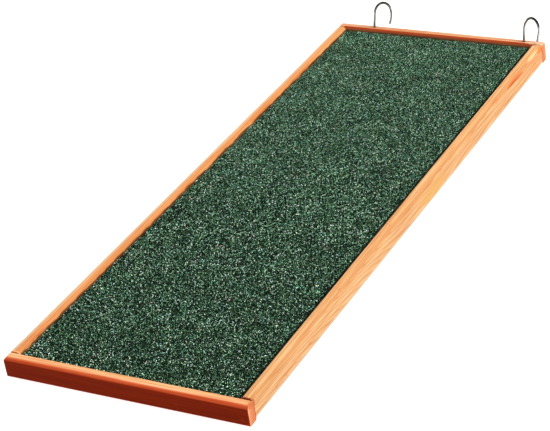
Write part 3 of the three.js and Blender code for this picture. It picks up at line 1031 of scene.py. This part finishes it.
def wire_line():
    """Places and directions along the bent wire, in its own plane: x across, z up the shank."""
    half = HOOK_SPAN / 2
    stops = []
    z = -THREAD_DEPTH
    while z < THREAD_RISE:
        stops.append((Vector((0, 0, z)), UP.copy()))
        z += THREAD_STEP
    while z < SHANK_RISE:
        stops.append((Vector((0, 0, z)), UP.copy()))
        z += WIRE_STEP
    count = round(math.pi * (half + ARCH_HEIGHT) / 2 / WIRE_STEP)
    for i in range(count):
        angle = math.pi * (1 - i / count)
        place = Vector((half + half * math.cos(angle), 0, SHANK_RISE + ARCH_HEIGHT * math.sin(angle)))
        way = Vector((half * math.sin(angle), 0, -ARCH_HEIGHT * math.cos(angle)))
        stops.append((place, way.normalized()))
    count = round(TIP_DROP / WIRE_STEP)
    start = Vector((HOOK_SPAN, 0, SHANK_RISE))
    handle = Vector((HOOK_SPAN, 0, SHANK_RISE - TIP_DROP / 2))
    end = Vector((HOOK_SPAN - TIP_CURL, 0, SHANK_RISE - TIP_DROP))
    for i in range(count + 1):
        t = i / count
        place = start * (1 - t) ** 2 + handle * 2 * t * (1 - t) + end * t ** 2
        way = (handle - start) * (1 - t) + (end - handle) * t
        stops.append((place, way.normalized()))
    return stops


def ring_at(place, way):
    """The matrix that sets a ring drawn round Z square to the wire at a place."""
    side = Vector((0, 1, 0))
    out = side.cross(way)
    return Matrix.Translation(place) @ Matrix((out, side, way)).transposed().to_4x4()


def thread_radius(z, angle):
    """The wire's radius at a height and an angle: a helical ridge that runs out near the rail."""
    core = WIRE / 2 - THREAD_HEIGHT
    phase = (z / THREAD_PITCH - angle / (2 * math.pi)) % 1
    ridge = max(0, 1 - abs(phase - 0.5) * RIDGE_SLOPE)
    fade = min(1, max(0, (THREAD_RISE - z) / THREAD_PITCH))
    return core + THREAD_HEIGHT * (ridge * fade * RIDGE_SHARE + (1 - fade))


def grown_ring(bm, edges):
    """Extrudes a ring of edges and gives back the new vertices and edges."""
    grown = bmesh.ops.extrude_edge_only(bm, edges=edges)["geom"]
    return ([g for g in grown if isinstance(g, bmesh.types.BMVert)],
            [g for g in grown if isinstance(g, bmesh.types.BMEdge)])


def dome_tip(bm, edges, place, way):
    """Closes the free end of the wire with a round dome that ends at the given place."""
    radius = WIRE / 2
    for i in range(1, DOME_STEPS + 1):
        angle = i / (DOME_STEPS + 1) * math.pi / 2
        ring, edges = grown_ring(bm, edges)
        middle = sum((v.co for v in ring), Vector()) / len(ring)
        lift = place + way * radius * (math.sin(angle) - 1) - middle
        shrink = radius * math.cos(angle) / (ring[0].co - middle).length
        for v in ring:
            v.co = middle + (v.co - middle) * shrink + lift
    bmesh.ops.contextual_create(bm, geom=edges)


def cut_thread(rings, stops):
    """Shapes the foot of the wire: a thread, and a point that tapers."""
    for ring, (place, way) in zip(rings, stops):
        if place.x > 0 or place.z > THREAD_RISE:
            continue
        taper = min(1, max(POINT_SHARE, (place.z + THREAD_DEPTH) / POINT_LENGTH))
        for v in ring:
            angle = math.atan2(v.co.y, v.co.x)
            wide = thread_radius(place.z, angle) * taper
            v.co.x, v.co.y = wide * math.cos(angle), wide * math.sin(angle)


def bent_wire(stops):
    """Sweeps a ring along the wire with extrusions, then domes the tip and cuts the thread."""
    bm = bmesh.new()
    ring = bmesh.ops.create_circle(bm, cap_ends=False, segments=WIRE_SIDES, radius=WIRE / 2)["verts"]
    bmesh.ops.transform(bm, matrix=ring_at(*stops[0]), verts=ring)
    rings = [ring]
    edges = list(bm.edges)
    for before, after in zip(stops, stops[1:]):
        ring, edges = grown_ring(bm, edges)
        bmesh.ops.transform(bm, matrix=ring_at(*after) @ ring_at(*before).inverted(), verts=ring)
        rings.append(ring)
    dome_tip(bm, edges, *stops[-1])
    cut_thread(rings, stops)
    bmesh.ops.contextual_create(bm, geom=[e for e in bm.edges if e.is_boundary])
    face_up(bm)
    return bm


def make_hook(node, stance, material):
    bm = bent_wire(wire_line())
    bmesh.ops.transform(bm, matrix=stance, verts=bm.verts)
    piece = finished(f"{node}_wire", bm, material)
    piece.data.shade_smooth()
    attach(piece, node)
    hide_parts(node)


def drill_pilot(rail, stance):
    """Cuts a hook's pilot hole into the top of the rail."""
    bm = bmesh.new()
    bmesh.ops.create_cone(bm, cap_ends=True, segments=PILOT_SIDES, radius1=PILOT_RADIUS,
                          radius2=PILOT_RADIUS, depth=2 * PILOT_DEPTH)
    bmesh.ops.transform(bm, matrix=stance, verts=bm.verts)
    drill = finished("pilot_drill", bm, rail.data.materials[0])
    cut = rail.modifiers.new("pilot", "BOOLEAN")
    cut.operation = "DIFFERENCE"
    cut.solver = "EXACT"
    cut.object = drill
    baked_down(rail)
    bpy.data.objects.remove(drill)


# Stage

def make_camera():
    camera = bpy.data.objects.new("camera", bpy.data.cameras.new("camera"))
    back = CAMERA_RIGHT.cross(CAMERA_UP)
    turned = Matrix((CAMERA_RIGHT, CAMERA_UP, back)).transposed().to_4x4()
    camera.matrix_world = Matrix.Translation(CAMERA_PLACE) @ turned
    camera.data.lens = FOCAL_LENGTH
    camera.data.sensor_width = SENSOR_WIDTH
    camera.data.sensor_fit = "HORIZONTAL"
    camera.data.clip_end = FAR_CLIP
    bpy.context.scene.collection.objects.link(camera)
    bpy.context.scene.camera = camera


def make_light(name, place, size, power):
    """A white round lamp that points at the part and isn't seen in its reflections."""
    lamp = bpy.data.lights.new(name, "AREA")
    lamp.shape = "DISK"
    lamp.size = size
    lamp.energy = power
    light = bpy.data.objects.new(name, lamp)
    light.visible_glossy = False
    light.location = place
    light.rotation_euler = (-Vector(place)).to_track_quat("-Z", "Y").to_euler()
    bpy.context.scene.collection.objects.link(light)


def make_floor():
    material, tree, shader = new_material("pale_floor")
    soft = even_noise(tree, object_place(tree), 3, 2)
    colour = ramp(tree, soft, [(0.3, (0.34, 0.34, 0.34)), (0.7, (0.36, 0.36, 0.36))])
    feed(tree, shader, Base_Color=colour, Roughness=0.8, Specular_IOR_Level=0,
         Emission_Color=(1, 1, 1), Emission_Strength=0.9)
    bm = bmesh.new()
    bmesh.ops.create_grid(bm, x_segments=FLOOR_CELLS, y_segments=FLOOR_CELLS, size=FLOOR_SIZE / 2)
    bmesh.ops.translate(bm, vec=(0, 0, -FLOOR_DROP), verts=bm.verts)
    finished("floor", bm, material)


def make_world():
    """Pale all round for the eye. Its light is brighter at the back and right, and what mirrors it
    sees it dark above the horizon."""
    world = bpy.data.worlds.new("studio")
    world.use_nodes = True
    tree = world.node_tree
    background = next(n for n in tree.nodes if n.type == "BACKGROUND")
    x, y, z = axes(tree, add(tree, "ShaderNodeTexCoord").outputs["Generated"])
    rays = add(tree, "ShaderNodeLightPath").outputs
    behind = maths(tree, "ADD", y, times(tree, x, RIGHT_LEAN))
    lit = times(tree, span(tree, z, *HEIGHT_FADE, smooth=True), span(tree, behind, *FRONT_FADE))
    dark = span(tree, z, *MIRRORED_FADE, smooth=True)
    colour = mixed(tree, rays["Is Glossy Ray"], evenly(tree, lit), evenly(tree, dark))
    colour = mixed(tree, rays["Is Camera Ray"], colour, (1, 1, 1))
    put(tree, background.inputs["Color"], colour)
    bpy.context.scene.world = world


def paint_cad_pieces():
    """Gives the board and the brads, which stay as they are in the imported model, their looks."""
    paint(frame["nodes"]["deck_board"], bare_pine())
    steel = brad_steel()
    for name, node in frame["nodes"].items():
        if "brad" in name:
            paint(node, steel)


def main():
    bpy.context.scene.view_settings.view_transform = "Standard"
    make_camera()
    make_world()
    make_floor()
    for name, (place, size, power) in LIGHTS.items():
        make_light(name, place, size, power)
    back_rail = make_rails()
    joints = {joint["child"]: joint for joint in frame["joints"]}
    wire = bright_wire()
    for node in ("left_hook", "right_hook"):
        stance = hook_stance(node, joints[node])
        drill_pilot(back_rail, stance)
        make_hook(node, stance, wire)
    for piece in [o for o in bpy.data.objects if o.name.endswith("_rail_wood")]:
        smooth_with_flat_faces(piece)
    felt_sheet(felt_base())
    grit_strips(slate_grit())
    paint_cad_pieces()


main()
